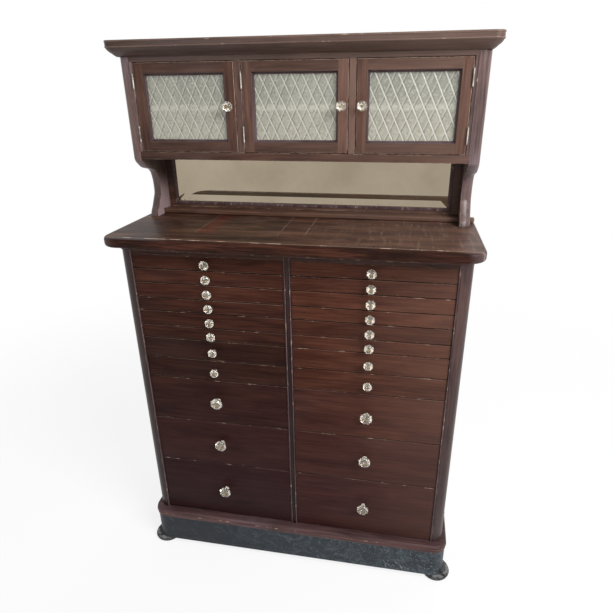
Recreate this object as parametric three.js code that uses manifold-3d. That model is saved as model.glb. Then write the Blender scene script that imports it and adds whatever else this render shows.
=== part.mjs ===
// Antique dental cabinet: two banks of drawers under a counter, with a mirror
// and a glazed three-door cupboard above it.
// Millimetres, +Z up, +Y to the back, origin on the floor under the middle.
import * as THREE from 'three';
import { mergeVertices } from 'three/addons/utils/BufferGeometryUtils.js';
import Module from 'manifold-3d';

const wasm = await Module();
wasm.setup();

// Clearances shared by the whole cabinet
const seat_gap = 0.25;
const overrun = 2;

// Counter and overall depth
const counter_width = 1016;
const counter_depth = 385;
const counter_thickness = 25.5;
const counter_corner = 48;
const counter_nose = 7;
const counter_overhang = 62.75;
const counter_side_overhang = 20.5;

// Lower case
const stile_width = 18;
const column_width = 37.5;
const column_depth = 46;
const column_corner = 30;
const column_proud = 2;
const side_thickness = 21;
const back_thickness = 10;
const quirk_width = 1.5;
const quirk_depth = 2;
const quirk_inset = 4;
const top_rail_height = 10.5;
const top_rail_thickness = 18;
const case_top_thickness = 21;
const case_top_step = 7;
const case_top_lip = 3;
const panel_recess = 5;
const panel_margin = 62;

// Base
const foot_diameter = 92;
const foot_height = 20;
const foot_reach = 24;
const foot_front_reach = 7;
const foot_sides = 24;
const plinth_height = 100;
const plinth_corner = 40;
const plinth_wall = 22;
const plinth_block = 70;
const plinth_front_reach = 22;
const plinth_side_reach = 12.5;
const base_board_thickness = 28;
const base_board_reach = 2;
const base_board_bead = 8;
const base_board_inset = 6;

// Drawers
const stack_height = 929.5;
const stack_lift = 2;
const row_shares = [
  0.0457, 0.0457, 0.0490, 0.0446, 0.0511, 0.0441,
  0.0710, 0.0748, 0.1651, 0.1770, 0.2319,
];
const shallow_rows = 8;
const front_gap = 1;
const front_thickness = 18;
const front_chamfer = 1.25;
const drawer_back_gap = 24.25;
const drawer_side_gap = 2;
const drawer_wall = 12;
const drawer_end_wall = 10;
const drawer_floor = 5;
const drawer_foot_gap = 3;
const drawer_head_gap = 8;
const groove_depth = 6;
const runner_height = 8;
const runner_side_gap = 0.5;
const runner_end_gap = 6;

// Knobs
const small_knob_diameter = 28;
const large_knob_diameter = 38;
const knob_length_share = 0.86;
const knob_sides = 8;
const large_knob_rise = 7;
const knob_root = 4;

// Upper unit
const upper_depth = 176.25;
const upper_side_setback = 18.5;
const niche_height = 182;
const upper_board_thickness = 20.75;
const door_zone_height = 233;
const upper_rail_height = 12.75;
const upright_thickness = 31.5;
const upright_corner = 24;
const upright_sweep = 95;
const jamb_width = 8;
const jamb_thickness = 20;
const mullion_width = 17.75;
const mullion_thickness = 18;
const centre_bay_width = 287.5;
const shelf_thickness = 10;
const shelf_setback = 26;
const cleat = 10;

// Cornice
const cornice_reach = 36;
const cornice_side_reach = 20.5;
const cornice_foot_corner = 4.5;
const cornice_height = 38.5;
const fascia_height = 17;
const cornice_foot_step = 3;

// Mirror and its frame
const mirror_depth = 21.25;
const mirror_stile = 30.5;
const mirror_lift = 33;
const mirror_head = 15;
const mirror_thickness = 5;
const mirror_bevel = 20;
const mirror_bevel_depth = 2.5;
const mirror_lip = 5;
const back_rail_height = 16;
const back_rail_depth = 72.25;
const back_rail_side_setback = 3;
const back_rail_thickness = 14;
const back_rail_nose = 5;

// Doors
const door_gap = 1.75;
const door_thickness = 18;
const door_stile = 26.5;
const sight_chamfer = 6;
const glass_setback = 10;
const glass_thickness = 3.5;
const glass_lap = 5;
const door_knob_inset = 16.5;
const door_knob_rise = 4;
const hinge_length = 45;
const hinge_radius = 3.25;
const hinge_leaf = 1;
const hinge_leaf_depth = 12;
const hinge_share = 0.105;
const hinge_sides = 12;

// Levels and planes worked out from the sizes above
const back_plane = counter_depth / 2;
const case_front = counter_overhang - counter_depth / 2;
const upper_front = back_plane - upper_depth;
const mirror_plane = back_plane - mirror_depth;
const rail_front = back_plane - back_rail_depth;
const plinth_top = foot_height + plinth_height;
const base_top = plinth_top + base_board_thickness;
const stack_bottom = base_top + stack_lift;
const stack_top = stack_bottom + stack_height;
const case_top_bottom = stack_top + top_rail_height;
const counter_bottom = case_top_bottom + case_top_thickness;
const counter_top = counter_bottom + counter_thickness;
const upper_bottom_level = counter_top + niche_height;
const door_zone_bottom = upper_bottom_level + upper_board_thickness;
const door_zone_top = door_zone_bottom + door_zone_height;
const cornice_bottom = door_zone_top + upper_rail_height;
const upper_half_width = counter_width / 2 - upper_side_setback;
const cupboard_half_width = upper_half_width - upright_thickness;
const bay_limit = cupboard_half_width - jamb_width;
const mirror_half_width = cupboard_half_width - mirror_stile;
const mirror_bottom = counter_top + mirror_lift;
const mirror_top = upper_bottom_level - mirror_head;
const case_half_width = counter_width / 2 - counter_side_overhang;
const plinth_width = 2 * (case_half_width + plinth_side_reach);
const side_inner = case_half_width - side_thickness;
const bank_outer = case_half_width - column_width;
const bank_width = bank_outer - stile_width / 2;
const bank_centre = (stile_width / 2 + bank_outer) / 2;
const case_back_front = back_plane - back_thickness;
const drawer_depth = case_back_front - case_front - drawer_back_gap;
const corner_steps = 8;
const curve_steps = 4;

// Colours taken from the real surfaces
const mahogany = new THREE.MeshStandardMaterial({ color: 0x46241d, roughness: 0.42, metalness: 0 });
const worn_top = new THREE.MeshStandardMaterial({ color: 0x5d4a40, roughness: 0.55, metalness: 0 });
const plinth_black = new THREE.MeshStandardMaterial({ color: 0x2c302d, roughness: 0.6, metalness: 0 });
const foot_brown = new THREE.MeshStandardMaterial({ color: 0x3a332f, roughness: 0.6, metalness: 0 });
const pressed_glass = new THREE.MeshStandardMaterial({ color: 0xb4b5a4, roughness: 0.25, metalness: 0 });
const knob_glass = new THREE.MeshStandardMaterial({ color: 0xdfe6e4, roughness: 0.05, metalness: 0 });
const silvered = new THREE.MeshStandardMaterial({ color: 0xc8ccc8, roughness: 0.04, metalness: 1 });
const nickel = new THREE.MeshStandardMaterial({ color: 0xb9b6ac, roughness: 0.35, metalness: 1 });

const cabinet = new THREE.Group();

// A closed triangle mesh as a solid
function solidOf(geometry) {
  const bare = geometry.clone();
  bare.deleteAttribute('normal');
  bare.deleteAttribute('uv');
  const merged = mergeVertices(bare);
  const index = merged.index.array;
  const kept = [];
  for (let i = 0; i < index.length; i += 3) {
    const [a, b, c] = [index[i], index[i + 1], index[i + 2]];
    if (a !== b && b !== c && c !== a) kept.push(a, b, c);
  }
  return new wasm.Manifold(new wasm.Mesh({
    numProp: 3,
    vertProperties: merged.attributes.position.array,
    triVerts: new Uint32Array(kept),
  }));
}

// A solid as a three.js geometry
function geometryOf(solid) {
  const mesh = solid.getMesh();
  const geometry = new THREE.BufferGeometry();
  geometry.setAttribute('position', new THREE.BufferAttribute(mesh.vertProperties, 3));
  geometry.setIndex(new THREE.BufferAttribute(mesh.triVerts, 1));
  geometry.computeVertexNormals();
  return geometry;
}

// Adds one named piece to the cabinet
function place(name, solid, material, x = 0, y = 0, z = 0) {
  const mesh = new THREE.Mesh(geometryOf(solid), material);
  mesh.name = name;
  mesh.position.set(x, y, z);
  cabinet.add(mesh);
  return mesh;
}

// A rectangular block between two corners
function block(x0, x1, y0, y1, z0, z1) {
  const box = new THREE.BoxGeometry(x1 - x0, y1 - y0, z1 - z0);
  box.translate((x0 + x1) / 2, (y0 + y1) / 2, (z0 + z1) / 2);
  return solidOf(box);
}

// A solid lofted through rings of plan points at rising levels
function loft(rings) {
  const count = rings[0].points.length;
  const positions = [];
  for (const ring of rings) {
    for (const point of ring.points) positions.push(point.x, point.y, ring.z);
  }
  const index = [];
  for (let level = 0; level + 1 < rings.length; level += 1) {
    for (let i = 0; i < count; i += 1) {
      const a = level * count + i;
      const b = level * count + (i + 1) % count;
      index.push(a, b, b + count, a, b + count, a + count);
    }
  }
  const top = (rings.length - 1) * count;
  for (const [a, b, c] of THREE.ShapeUtils.triangulateShape(rings[0].points, [])) {
    index.push(a, c, b);
  }
  for (const [a, b, c] of THREE.ShapeUtils.triangulateShape(rings[rings.length - 1].points, [])) {
    index.push(top + a, top + b, top + c);
  }
  const geometry = new THREE.BufferGeometry();
  geometry.setAttribute('position', new THREE.Float32BufferAttribute(positions, 3));
  geometry.setIndex(index);
  return geometry;
}

// Corners of a rectangle, anticlockwise from above
function rectangle(x0, x1, y0, y1) {
  return [
    new THREE.Vector2(x0, y0), new THREE.Vector2(x1, y0),
    new THREE.Vector2(x1, y1), new THREE.Vector2(x0, y1),
  ];
}

// Points on part of a circle
function arc(cx, cy, radius, from, to, steps) {
  const points = [];
  for (let i = 0; i <= steps; i += 1) {
    const angle = from + (to - from) * i / steps;
    points.push(new THREE.Vector2(cx + radius * Math.cos(angle), cy + radius * Math.sin(angle)));
  }
  return points;
}

// Plan of a board with square back corners and rounded front corners
function boardPlan(half_width, front, back, radius) {
  const left = arc(radius - half_width, front + radius, radius, Math.PI, Math.PI * 1.5, corner_steps);
  const right = arc(half_width - radius, front + radius, radius, -Math.PI / 2, 0, corner_steps);
  return [
    ...left, ...right,
    new THREE.Vector2(half_width, back), new THREE.Vector2(-half_width, back),
  ];
}

// A board whose front and side edges follow a moulding, given as insets by level
function mouldedBoard(width, front, back, radius, profile) {
  const rings = profile.map(({ z, inset, front_inset = inset }) => ({
    z,
    points: boardPlan(width / 2 - inset, front + front_inset, back, radius - inset),
  }));
  return solidOf(loft(rings));
}

// Quarter-round rise from an inset edge to the full width
function roundedFoot(z, size) {
  return arc(0, 0, size, -Math.PI / 2, 0, curve_steps)
    .map((point) => ({ z: z + size + point.y, inset: size - point.x }));
}

// Quarter-round from the full width up to an inset top
function roundedHead(z, size) {
  return arc(0, 0, size, 0, Math.PI / 2, curve_steps)
    .map((point) => ({ z: z - size + point.y, inset: size - point.x }));
}

// An upright panel facing the front, with a chamfer round its front edge
function frontPanel(x0, x1, z0, z1, front, thickness, chamfer) {
  const rings = [
    { z: 0, points: rectangle(x0, x1, z0, z1) },
    { z: thickness - chamfer, points: rectangle(x0, x1, z0, z1) },
    { z: thickness, points: rectangle(x0 + chamfer, x1 - chamfer, z0 + chamfer, z1 - chamfer) },
  ];
  const geometry = loft(rings);
  geometry.rotateX(Math.PI / 2);
  geometry.translate(0, front + thickness, 0);
  return solidOf(geometry);
}

// A turned piece on the Z axis, from a profile of radius and height
function turned(profile, sides) {
  const points = profile.map(([radius, height]) => new THREE.Vector2(radius, height));
  const geometry = new THREE.LatheGeometry(points, sides);
  geometry.rotateX(Math.PI / 2);
  return solidOf(geometry);
}

// An eight-sided glass knob that points to the front, its root behind the origin
function knob(diameter, root) {
  const radius = diameter / 2;
  const length = diameter * knob_length_share;
  const shares = [
    [0.62, 0], [0.62, 0.1], [0.36, 0.16], [0.36, 0.34],
    [0.86, 0.56], [1, 0.68], [0.94, 0.84], [0.6, 1],
  ];
  const profile = [
    [0, -root], [radius * shares[0][0], -root],
    ...shares.map(([across, along]) => [radius * across, length * along]),
    [0, length],
  ];
  const points = profile.map(([r, h]) => new THREE.Vector2(r, h));
  const geometry = new THREE.LatheGeometry(points, knob_sides);
  geometry.rotateY(Math.PI / knob_sides);
  geometry.rotateX(Math.PI);
  return solidOf(geometry);
}

// Vertical quirk line cut into a front face
function quirk(x, front, z0, z1) {
  return block(x - quirk_width / 2, x + quirk_width / 2, front - overrun, front + quirk_depth, z0, z1);
}

// Heights of the drawer rows, counted from the top
function drawerRows() {
  const rows = [];
  let top = stack_top;
  for (const share of row_shares) {
    const height = stack_height * share;
    rows.push({ top, bottom: top - height, height });
    top -= height;
  }
  return rows;
}

const rows = drawerRows();

// Height of the runner that carries a drawer
function runnerLevel(row) {
  return row.bottom + drawer_foot_gap + (row.height - drawer_foot_gap - drawer_head_gap) / 2;
}

// Runner strips for all rows between two x positions
function runners(x0, x1) {
  const front = case_front + column_depth;
  return rows.map((row) => {
    const level = runnerLevel(row);
    return block(x0, x1, front, case_back_front - seat_gap,
      level - runner_height / 2, level + runner_height / 2);
  });
}

// Side of the lower case: rounded corner column, panel and runners; sign is -1 left, 1 right
function caseSide(sign) {
  const z0 = base_top + seat_gap;
  const z1 = case_top_bottom - seat_gap;
  const front = case_front - column_proud;
  const back = case_back_front - seat_gap;
  const corner = arc(case_half_width - column_corner, front + column_corner, column_corner,
    -Math.PI / 2, 0, corner_steps);
  const plan = [
    new THREE.Vector2(bank_outer, front),
    ...corner,
    new THREE.Vector2(case_half_width, back),
    new THREE.Vector2(side_inner, back),
    new THREE.Vector2(side_inner, case_front + column_depth),
    new THREE.Vector2(bank_outer, case_front + column_depth),
  ];
  const runner_tip = bank_outer - drawer_side_gap - groove_depth + runner_side_gap;
  let solid = solidOf(loft([{ z: z0, points: plan }, { z: z1, points: plan }]));
  solid = solid.subtract(quirk(bank_outer + quirk_inset, front, z0 - overrun, z1 + overrun));
  solid = solid.subtract(block(case_half_width - panel_recess, case_half_width + overrun,
    case_front + panel_margin, back - panel_margin, z0 + panel_margin, z1 - panel_margin));
  for (const runner of runners(runner_tip, side_inner + overrun)) solid = solid.add(runner);
  return sign > 0 ? solid : solid.mirror([1, 0, 0]);
}

// Partition between the banks, with its front stile and runners on both faces
function centrePartition() {
  const half = stile_width / 2;
  const front = case_front - column_proud;
  const back = case_back_front - seat_gap;
  const z0 = base_top + seat_gap;
  const reach = half + drawer_side_gap + groove_depth - runner_side_gap;
  let solid = block(-half, half, front, back, z0, stack_top - seat_gap);
  solid = solid.add(block(-half, half, case_front + top_rail_thickness + seat_gap, back,
    stack_top - overrun, case_top_bottom - seat_gap));
  for (const sign of [-1, 1]) {
    solid = solid.subtract(quirk(sign * (half - quirk_inset), front, z0 - overrun, stack_top));
  }
  for (const runner of runners(-reach, reach)) solid = solid.add(runner);
  return solid;
}

// Board under the drawers, with a bead along its upper edge
function baseBoard() {
  const width = plinth_width + 2 * base_board_reach;
  const front = case_front - plinth_front_reach - base_board_reach;
  const z0 = plinth_top + seat_gap;
  return mouldedBoard(width, front, back_plane, plinth_corner, [
    { z: z0, inset: base_board_reach },
    { z: z0 + base_board_reach, inset: 0 },
    { z: base_top - base_board_bead, inset: 0 },
    ...roundedHead(base_top, base_board_inset),
  ]);
}

// Hollow plinth with glue blocks in its corners
function plinth() {
  const front = case_front - plinth_front_reach;
  const plan = boardPlan(plinth_width / 2, front, back_plane, plinth_corner);
  const x = plinth_width / 2 - plinth_wall;
  const y0 = front + plinth_wall;
  const y1 = back_plane - plinth_wall;
  const hollow = [
    new THREE.Vector2(plinth_block - x, y0), new THREE.Vector2(x - plinth_block, y0),
    new THREE.Vector2(x, y0 + plinth_block), new THREE.Vector2(x, y1 - plinth_block),
    new THREE.Vector2(x - plinth_block, y1), new THREE.Vector2(plinth_block - x, y1),
    new THREE.Vector2(-x, y1 - plinth_block), new THREE.Vector2(-x, y0 + plinth_block),
  ];
  const z0 = foot_height + seat_gap;
  const outer = solidOf(loft([{ z: z0, points: plan }, { z: plinth_top, points: plan }]));
  return outer.subtract(solidOf(loft([
    { z: z0 - overrun, points: hollow }, { z: plinth_top + overrun, points: hollow },
  ])));
}

// Flattened bun foot
function foot() {
  const radius = foot_diameter / 2;
  const shares = [[0.78, 0], [0.95, 0.18], [1, 0.5], [0.92, 0.85], [0.7, 1]];
  const profile = [
    [0, 0],
    ...shares.map(([across, up]) => [radius * across, foot_height * up]),
    [0, foot_height],
  ];
  return turned(profile, foot_sides);
}

// Board under the counter, its moulding drawn in from the counter to the columns
function caseTop() {
  const shares = [[0, 0.14], [0.12, 0.3], [0.3, 0.5], [0.58, 0.72], [1, 1]];
  const width = counter_width - 2 * case_top_step;
  const front = case_top_step - counter_depth / 2;
  const z1 = counter_bottom - seat_gap;
  const side_inset = counter_side_overhang - case_top_step - case_top_lip;
  const front_inset = counter_overhang - column_proud - case_top_lip - case_top_step;
  return mouldedBoard(width, front, back_plane, counter_corner - case_top_step, [
    { z: case_top_bottom, inset: side_inset, front_inset },
    ...shares.map(([out, up]) => ({
      z: case_top_bottom + (z1 - case_top_bottom) * up,
      inset: side_inset * (1 - out),
      front_inset: front_inset * (1 - out),
    })),
  ]);
}

// Counter slab with rounded edges
function counterTop() {
  return mouldedBoard(counter_width, -counter_depth / 2, back_plane, counter_corner, [
    ...roundedFoot(counter_bottom, counter_nose),
    ...roundedHead(counter_top, counter_nose),
  ]);
}

// One drawer: chamfered front, four walls, floor, runner grooves and its knob
function drawer(row, deep) {
  const half = bank_width / 2;
  const middle = (row.top + row.bottom) / 2;
  const z0 = row.bottom - middle + drawer_foot_gap;
  const z1 = row.top - middle - drawer_head_gap;
  const side = half - drawer_side_gap;
  const y0 = front_thickness - overrun;
  const y1 = drawer_depth;
  const level = runnerLevel(row) - middle;
  const gap = front_gap / 2;
  const groove = runner_height / 2 + seat_gap;
  let solid = frontPanel(front_gap - half, half - front_gap, row.bottom - middle + gap,
    row.top - middle - gap, 0, front_thickness, front_chamfer);
  solid = solid.add(block(-side, side, y0, y1, z0, z1));
  solid = solid.subtract(block(drawer_wall - side, side - drawer_wall, front_thickness,
    y1 - drawer_end_wall, z0 + drawer_floor, z1 + overrun));
  for (const sign of [-1, 1]) {
    const inner = sign * (side - groove_depth);
    const outer = sign * (side + overrun);
    solid = solid.subtract(block(Math.min(inner, outer), Math.max(inner, outer),
      column_depth - runner_end_gap, y1 + overrun, level - groove, level + groove));
  }
  const size = deep ? large_knob_diameter : small_knob_diameter;
  const rise = deep ? large_knob_rise : 0;
  return solid.add(knob(size, knob_root).translate([0, 0, rise]));
}

// Front line of an upright from the cornice down to the counter, its scroll given
// as shares of the sweep backwards and of the niche height
function uprightFrontLine(z0, z1) {
  const shares = [
    [0, 1], [0.05, 0.953], [0.18, 0.898], [0.34, 0.843], [0.57, 0.81],
    [0.76, 0.783], [0.905, 0.717], [0.968, 0.624], [1, 0.541], [1, 0.376],
    [0.905, 0.283], [0.75, 0.157], [0.62, 0.074], [0.58, 0],
  ];
  const height = upper_bottom_level - z0;
  const points = shares.map(([back, up]) => new THREE.Vector2(
    upper_front + upright_sweep * back, z0 + height * up));
  const scroll = new THREE.SplineCurve(points).getPoints(2 * shares.length);
  return [new THREE.Vector2(upper_front, z1), ...scroll];
}

// Upright of the upper unit: cupboard side above, scroll bracket below
function upright(sign) {
  const outer = upper_half_width;
  const inner = cupboard_half_width;
  const z0 = counter_top + seat_gap;
  const z1 = cornice_bottom - seat_gap;
  const line = uprightFrontLine(z0, z1);
  const section = [
    new THREE.Vector2(inner, 0),
    ...arc(outer - upright_corner, upright_corner, upright_corner, -Math.PI / 2, 0, corner_steps),
  ];
  const rings = section.map((point) => ({
    z: point.x,
    points: [
      ...line.map((edge) => new THREE.Vector2(edge.x + point.y, edge.y)),
      new THREE.Vector2(back_plane, z0),
      new THREE.Vector2(back_plane, z1),
    ],
  }));
  const blank = loft(rings);
  blank.rotateX(Math.PI / 2);
  blank.rotateZ(Math.PI / 2);
  let solid = solidOf(blank);
  solid = solid.subtract(block(inner - overrun, outer + overrun, rail_front - seat_gap,
    rail_front + back_rail_thickness + seat_gap,
    counter_top, counter_top + back_rail_height + seat_gap));
  solid = solid.add(block(inner - jamb_width, inner + overrun, upper_front,
    upper_front + jamb_thickness, door_zone_bottom + seat_gap, door_zone_top - seat_gap));
  const shelf_bottom = door_zone_bottom + (door_zone_height - shelf_thickness) / 2;
  solid = solid.add(block(inner - cleat, inner + overrun, upper_front + shelf_setback + cleat,
    back_plane - back_thickness - seat_gap, shelf_bottom - seat_gap - cleat,
    shelf_bottom - seat_gap));
  return sign > 0 ? solid : solid.mirror([1, 0, 0]);
}

// Moulded cornice with the cupboard's top board and head rail under it
function cornice() {
  const shares = [[0, 0], [0.22, 0.16], [0.43, 0.35], [0.7, 0.55], [0.9, 0.8], [1, 1]];
  const width = 2 * (upper_half_width + cornice_side_reach);
  const corner = cornice_foot_corner + cornice_side_reach;
  const front_inset = cornice_reach - cornice_foot_step;
  const rise = cornice_height - fascia_height;
  const slope = shares.map(([out, up]) => ({
    z: cornice_bottom + rise * up,
    inset: cornice_side_reach * (1 - out),
    front_inset: front_inset * (1 - out),
  }));
  const board = mouldedBoard(width, upper_front - cornice_reach, back_plane, corner,
    [...slope, { z: cornice_bottom + cornice_height, inset: 0 }]);
  const half = cupboard_half_width - seat_gap;
  return board.add(block(-half, half, upper_front, back_plane - seat_gap,
    door_zone_top, cornice_bottom + overrun));
}

// Mirror frame, its sill ending in a low nosed strip across the whole counter
function mirrorFrame() {
  const z0 = counter_top + seat_gap;
  const z1 = counter_top + back_rail_height;
  const width = counter_width - 2 * back_rail_side_setback;
  const strip = mouldedBoard(width, rail_front, rail_front + back_rail_thickness,
    2 * back_rail_nose, [
      ...roundedFoot(z0, back_rail_nose),
      ...roundedHead(z1, back_rail_nose),
    ]);
  const half = cupboard_half_width - seat_gap;
  const frame = block(-half, half, mirror_plane - mirror_lip, back_plane,
    z0, upper_bottom_level - seat_gap);
  const ledge = block(-half, half, rail_front + back_rail_thickness - overrun,
    mirror_plane - mirror_lip + overrun, z0, z1);
  const recess = block(-mirror_half_width, mirror_half_width,
    mirror_plane - mirror_lip - overrun, mirror_plane + mirror_thickness + seat_gap,
    mirror_bottom, mirror_top);
  return strip.add(frame).add(ledge).subtract(recess);
}

// Mirror plate with a wide bevel
function mirrorPlate() {
  const half = mirror_half_width - seat_gap;
  const z0 = mirror_bottom + seat_gap;
  const z1 = mirror_top - seat_gap;
  const geometry = loft([
    { z: 0, points: rectangle(-half, half, z0, z1) },
    { z: mirror_thickness - mirror_bevel_depth, points: rectangle(-half, half, z0, z1) },
    {
      z: mirror_thickness,
      points: rectangle(mirror_bevel - half, half - mirror_bevel, z0 + mirror_bevel, z1 - mirror_bevel),
    },
  ]);
  geometry.rotateX(Math.PI / 2);
  geometry.translate(0, mirror_plane + mirror_thickness, 0);
  return solidOf(geometry);
}

// Door frame about its own middle: outer edge, sight edge chamfer and glass rebate
function doorFrame(width, height) {
  const x = width / 2;
  const z = height / 2;
  const sight_x = x - door_stile;
  const sight_z = z - door_stile;
  const glass_x = sight_x - sight_chamfer;
  const glass_z = sight_z - sight_chamfer;
  const panel = frontPanel(-x, x, -z, z, 0, door_thickness, front_chamfer);
  const through = loft([
    { z: -overrun, points: rectangle(-glass_x, glass_x, -glass_z, glass_z) },
    { z: door_thickness - glass_setback, points: rectangle(-glass_x, glass_x, -glass_z, glass_z) },
    { z: door_thickness, points: rectangle(-sight_x, sight_x, -sight_z, sight_z) },
    {
      z: door_thickness + overrun,
      points: rectangle(-sight_x, sight_x, -sight_z, sight_z),
    },
  ]);
  through.rotateX(Math.PI / 2);
  through.translate(0, door_thickness, 0);
  const rebate = block(-glass_x - glass_lap, glass_x + glass_lap, glass_setback,
    door_thickness + overrun, -glass_z - glass_lap, glass_z + glass_lap);
  return panel.subtract(solidOf(through)).subtract(rebate);
}

// Pane that lies in the rebate of a door
function doorPane(width, height) {
  const x = width / 2 - door_stile - sight_chamfer + glass_lap - seat_gap;
  const z = height / 2 - door_stile - sight_chamfer + glass_lap - seat_gap;
  return block(-x, x, glass_setback + seat_gap, glass_setback + seat_gap + glass_thickness, -z, z);
}

// Hinge about its own barrel axis, its leaf running back into the gap beside the door
function hinge() {
  const half = hinge_length / 2;
  const tip = hinge_radius / 2;
  const barrel = turned([
    [0, -half], [hinge_radius / 2, -half], [hinge_radius, tip - half],
    [hinge_radius, half - tip], [hinge_radius / 2, half], [0, half],
  ], hinge_sides);
  return barrel.add(block(-hinge_leaf / 2, hinge_leaf / 2, 0,
    hinge_radius + seat_gap + hinge_leaf_depth, tip - half, half - tip));
}

// Lower case
place('left_side', caseSide(-1), mahogany);
place('right_side', caseSide(1), mahogany);
place('centre_partition', centrePartition(), mahogany);
place('case_back', block(-case_half_width, case_half_width, case_back_front, back_plane,
  base_top + seat_gap, case_top_bottom - seat_gap), mahogany);
place('case_bottom', baseBoard(), mahogany);
place('top_rail', block(seat_gap - bank_outer, bank_outer - seat_gap, case_front - column_proud,
  case_front + top_rail_thickness, stack_top, case_top_bottom - seat_gap), mahogany);
place('case_top', caseTop(), mahogany);
place('countertop', counterTop(), worn_top);
place('plinth', plinth(), plinth_black);

// Feet under the plinth corners, standing out past its front and sides
const foot_x = plinth_width / 2 + foot_reach - foot_diameter / 2;
const foot_rows = [
  { end: 'front', y: case_front - plinth_front_reach - foot_front_reach + foot_diameter / 2 },
  { end: 'back', y: back_plane - foot_diameter / 2 },
];
for (const { end, y } of foot_rows) {
  for (const [hand, sign] of [['left', -1], ['right', 1]]) {
    place(`foot_${end}_${hand}`, foot(), foot_brown, sign * foot_x, y, 0);
  }
}

// Drawers, counted from the top in each bank
rows.forEach((row, i) => {
  const solid = drawer(row, i >= shallow_rows);
  const z = (row.top + row.bottom) / 2;
  for (const [hand, sign] of [['left', -1], ['right', 1]]) {
    place(`drawer_${hand}_${i + 1}`, solid, mahogany, sign * bank_centre, case_front, z);
  }
});

// Upper unit
place('left_upright', upright(-1), mahogany);
place('right_upright', upright(1), mahogany);
place('upper_bottom', block(seat_gap - cupboard_half_width, cupboard_half_width - seat_gap,
  upper_front, back_plane, upper_bottom_level, door_zone_bottom), mahogany);
place('upper_back', block(seat_gap - cupboard_half_width, cupboard_half_width - seat_gap,
  back_plane - back_thickness, back_plane, door_zone_bottom + seat_gap,
  door_zone_top - seat_gap), mahogany);
place('shelf', block(seat_gap - cupboard_half_width, cupboard_half_width - seat_gap,
  upper_front + shelf_setback, back_plane - back_thickness - seat_gap,
  door_zone_bottom + (door_zone_height - shelf_thickness) / 2,
  door_zone_bottom + (door_zone_height + shelf_thickness) / 2), mahogany);
place('cornice', cornice(), mahogany);
place('mirror_frame', mirrorFrame(), mahogany);
place('mirror', mirrorPlate(), silvered);
for (const [hand, sign] of [['left', -1], ['right', 1]]) {
  const middle = sign * (centre_bay_width + mullion_width) / 2;
  place(`mullion_${hand}`, block(middle - mullion_width / 2, middle + mullion_width / 2,
    upper_front, upper_front + mullion_thickness, door_zone_bottom + seat_gap,
    door_zone_top - seat_gap), mahogany);
}

// Doors: bay limits, and the side on which each one hangs
const mullion_outer = centre_bay_width / 2 + mullion_width;
const bays = [
  { hand: 'left', x0: -bay_limit, x1: -mullion_outer, hung: -1 },
  { hand: 'centre', x0: -centre_bay_width / 2, x1: centre_bay_width / 2, hung: -1 },
  { hand: 'right', x0: mullion_outer, x1: bay_limit, hung: 1 },
];
for (const bay of bays) {
  const width = bay.x1 - bay.x0 - 2 * door_gap;
  const height = door_zone_height - 2 * door_gap;
  const x = (bay.x0 + bay.x1) / 2;
  const z = door_zone_bottom + door_zone_height / 2;
  const knob_x = x - bay.hung * (width / 2 - door_knob_inset);
  place(`door_${bay.hand}`, doorFrame(width, height), mahogany, x, upper_front, z);
  place(`glass_${bay.hand}`, doorPane(width, height), pressed_glass, x, upper_front, z);
  place(`door_knob_${bay.hand}`, knob(small_knob_diameter, 0), knob_glass,
    knob_x, upper_front - seat_gap, z + door_knob_rise);
  const hinge_x = bay.hung < 0 ? bay.x0 + door_gap / 2 : bay.x1 - door_gap / 2;
  const hinge_rise = height / 2 - height * hinge_share - hinge_length / 2;
  for (const [end, sign] of [['upper', 1], ['lower', -1]]) {
    place(`hinge_${bay.hand}_${end}`, hinge(), nickel,
      hinge_x, upper_front - hinge_radius - seat_gap, z + sign * hinge_rise);
  }
}

export default cabinet;
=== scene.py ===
# Looks for an antique dental cabinet: worn mahogany, pressed glass and faceted knobs.
# Metres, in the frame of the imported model.
import math
import random

import bmesh
import bpy
from mathutils import Matrix, Vector


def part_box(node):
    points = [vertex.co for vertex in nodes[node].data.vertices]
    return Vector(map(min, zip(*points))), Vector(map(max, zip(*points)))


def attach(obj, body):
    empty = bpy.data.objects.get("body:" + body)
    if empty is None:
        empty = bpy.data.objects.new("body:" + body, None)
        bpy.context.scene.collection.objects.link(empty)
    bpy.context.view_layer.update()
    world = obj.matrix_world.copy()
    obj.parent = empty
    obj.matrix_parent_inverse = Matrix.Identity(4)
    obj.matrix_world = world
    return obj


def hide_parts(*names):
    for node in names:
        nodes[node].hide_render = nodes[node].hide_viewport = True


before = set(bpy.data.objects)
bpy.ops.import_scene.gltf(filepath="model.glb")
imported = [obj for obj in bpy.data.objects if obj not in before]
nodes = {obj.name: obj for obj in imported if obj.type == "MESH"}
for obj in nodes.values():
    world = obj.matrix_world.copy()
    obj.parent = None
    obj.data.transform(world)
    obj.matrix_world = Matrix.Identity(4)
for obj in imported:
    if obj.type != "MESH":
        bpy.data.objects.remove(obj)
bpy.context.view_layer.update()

scene = bpy.context.scene
MM = 0.001
HANDS = ("left", "centre", "right")
SIDES = ("left", "right")

# Camera, from the edges of the photographed cabinet
CAMERA_PLACE = Vector((0.30456, -1.39546, 1.49933))
CAMERA_YAW = math.radians(10.44)
CAMERA_PITCH = math.radians(-23.17)
CAMERA_ROLL = math.radians(-0.55)
PHOTO_SIDE = 613
FOCAL_PIXELS = 508.17
CENTRE_PIXEL = (313.12, 307.19)
SENSOR = 36

# Light, with the name, place, side and power of each lamp, and the floor
WORLD_LIGHT = 0.38
LAMPS = (
    ("key", (2.1, -1.7, 2.8), 1.6, 112),
    ("fill", (-2.8, -2.2, 2.0), 2.4, 12),
    ("rear", (0.6, 3.2, 2.8), 2.4, 40),
)
LAMP_TARGET = Vector((0, 0, 0.85))
FLOOR_HALF = 30.0
GLOW_NEAR = 0.8
GLOW_GAIN = 0.2
GLOW_FROM = 1.0
GLOW_TO = 3.0

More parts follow.
